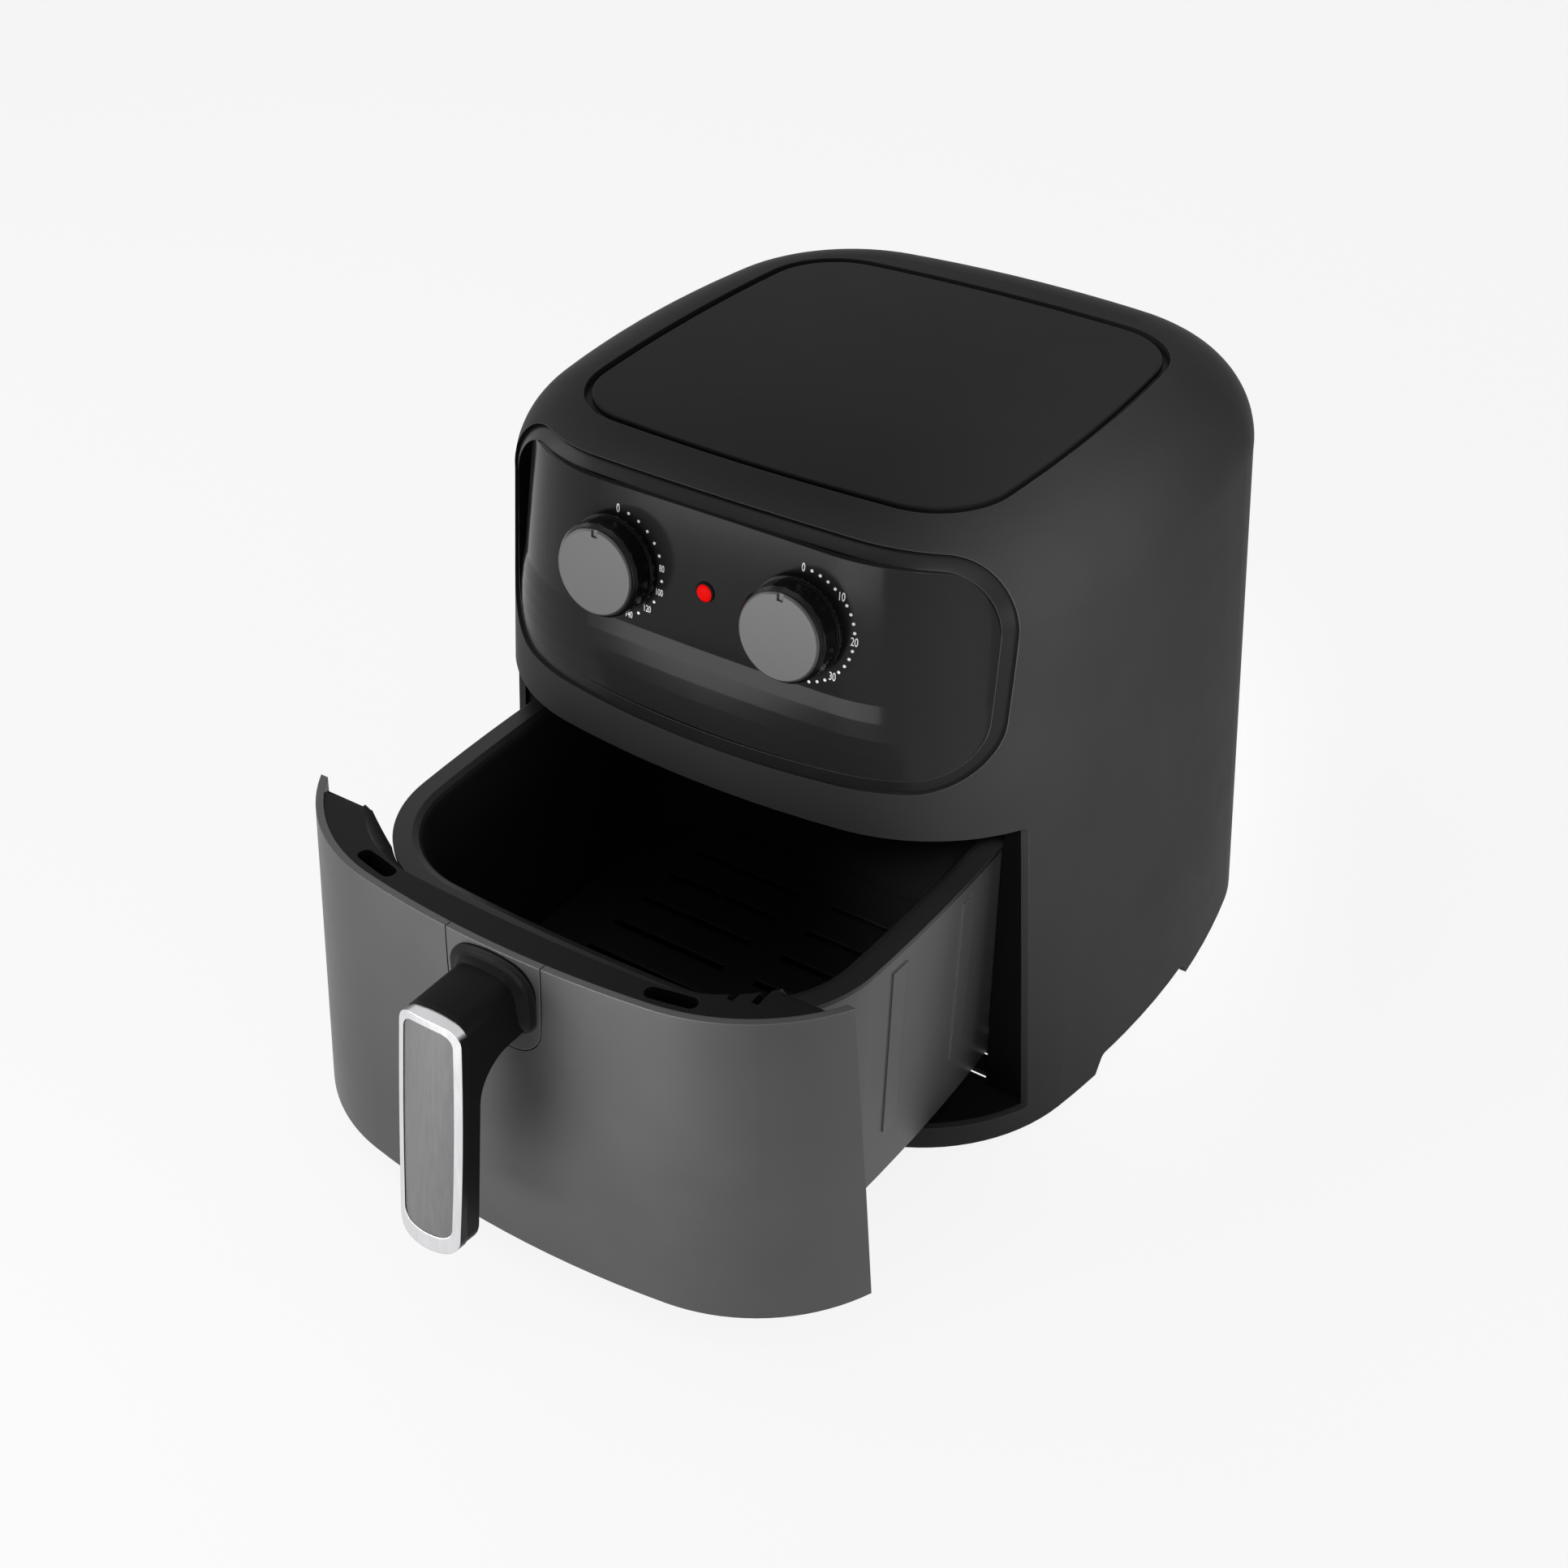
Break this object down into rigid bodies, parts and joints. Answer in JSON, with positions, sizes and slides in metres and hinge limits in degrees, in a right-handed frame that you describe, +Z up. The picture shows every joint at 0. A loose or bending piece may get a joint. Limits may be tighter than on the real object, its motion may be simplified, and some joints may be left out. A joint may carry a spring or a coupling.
{
  "type": "basket air fryer",
  "caption": "Countertop air fryer with rounded charcoal housing, sunk dial panel, pull-out drawer with cooking pan, lift-out crisper plate and an upright front handle.",
  "frame": {"origin": "on the worktop, under the middle of the housing's base", "axes": "+Z up, -Y towards the front where the drawer pulls out, +X to the right seen from the front"},
  "size_m": [0.291, 0.464, 0.27],
  "materials": {
    "charcoal_shell": "satin",
    "satin_fascia": "satin metallic lacquer",
    "top_inset": "satin",
    "black_panel": "gloss",
    "surround": "gloss",
    "red_lens": "clear gloss",
    "black_knob": "gloss",
    "grey_cap": "satin",
    "steel": "plain",
    "black_plastic": "satin",
    "silver_trim": "satin",
    "grey_inlay": "brushed",
    "tub_coat": "satin",
    "non_stick": "non-stick coating",
    "silicone": "matte",
    "cavity_steel": "satin",
    "fan_sheet": "plain",
    "motor_case": "plain",
    "control_case": "matte",
    "terminal": "matte"
  },
  "bodies": {
    "housing": {"outer_shell": "charcoal_shell", "rear_grille": "charcoal_shell", "base_plate": "black_plastic", "top_panel": "top_inset", "panel_frame": "surround", "control_panel": "black_panel", "indicator_lens": "red_lens", "indicator_lamp": "terminal", "control_bracket": "steel", "thermostat_unit": "control_case", "timer_unit": "control_case", "timer_bell": "steel", "rubber_feet": "silicone", "cavity_liner": "cavity_steel", "mid_plate": "cavity_steel", "drawer_switch": "control_case", "heat_shroud": "steel", "heater_guard": "steel", "heating_element": "steel", "element_clips": "steel", "fan_motor": "motor_case", "motor_bracket": "steel", "thermal_fuse": "fan_sheet", "terminal_block": "terminal", "air_duct": "black_plastic", "cord_bush": "silicone"},
    "drawer": {"drawer_front": "satin_fascia", "drawer_tub": "tub_coat", "cooking_pan": "non_stick", "drawer_collar": "black_plastic", "handle_plate": "satin_fascia", "handle_grip": "black_plastic", "handle_frame": "silver_trim", "handle_inlay": "grey_inlay"},
    "crisper": {"crisper_plate": "non_stick", "crisper_pads": "silicone"},
    "temperature_dial": {"temperature_knob": "black_knob", "temperature_cap": "grey_cap", "temperature_shaft": "steel"},
    "timer_dial": {"timer_knob": "black_knob", "timer_cap": "grey_cap", "timer_shaft": "steel"},
    "fan_rotor": {"fan_shaft": "steel", "hot_fan": "fan_sheet", "cooling_fan": "fan_sheet", "fan_nut": "steel"},
    "switch_button": {"switch_pin": "terminal"}
  },
  "joints": [
    {"name": "drawer_slide", "type": "slide", "parent": "housing", "child": "drawer", "axis": [0, -1, 0], "range_m": [-0.1185, 0.145]},
    {"name": "crisper_lift", "type": "slide", "parent": "drawer", "child": "crisper", "axis": [0, 0, 1], "range_m": [0, 0.09]},
    {"name": "temperature_turn", "type": "hinge", "parent": "housing", "child": "temperature_dial", "pos_m": [-0.041, -0.1315, 0.2285], "axis": [0, 0.9945, -0.1045], "range_deg": [0, 245]},
    {"name": "timer_turn", "type": "hinge", "parent": "housing", "child": "timer_dial", "pos_m": [0.041, -0.1315, 0.2285], "axis": [0, 0.9945, -0.1045], "range_deg": [0, 276]},
    {"name": "fan_spin", "type": "hinge", "parent": "housing", "child": "fan_rotor", "pos_m": [0, -0.012, 0.18], "axis": [0, 0, 1], "continuous": true},
    {"name": "switch_press", "type": "slide", "parent": "housing", "child": "switch_button", "axis": [0, 1, 0], "range_m": [0, 0.0025], "stiffness_N_per_m": 300}
  ]
}
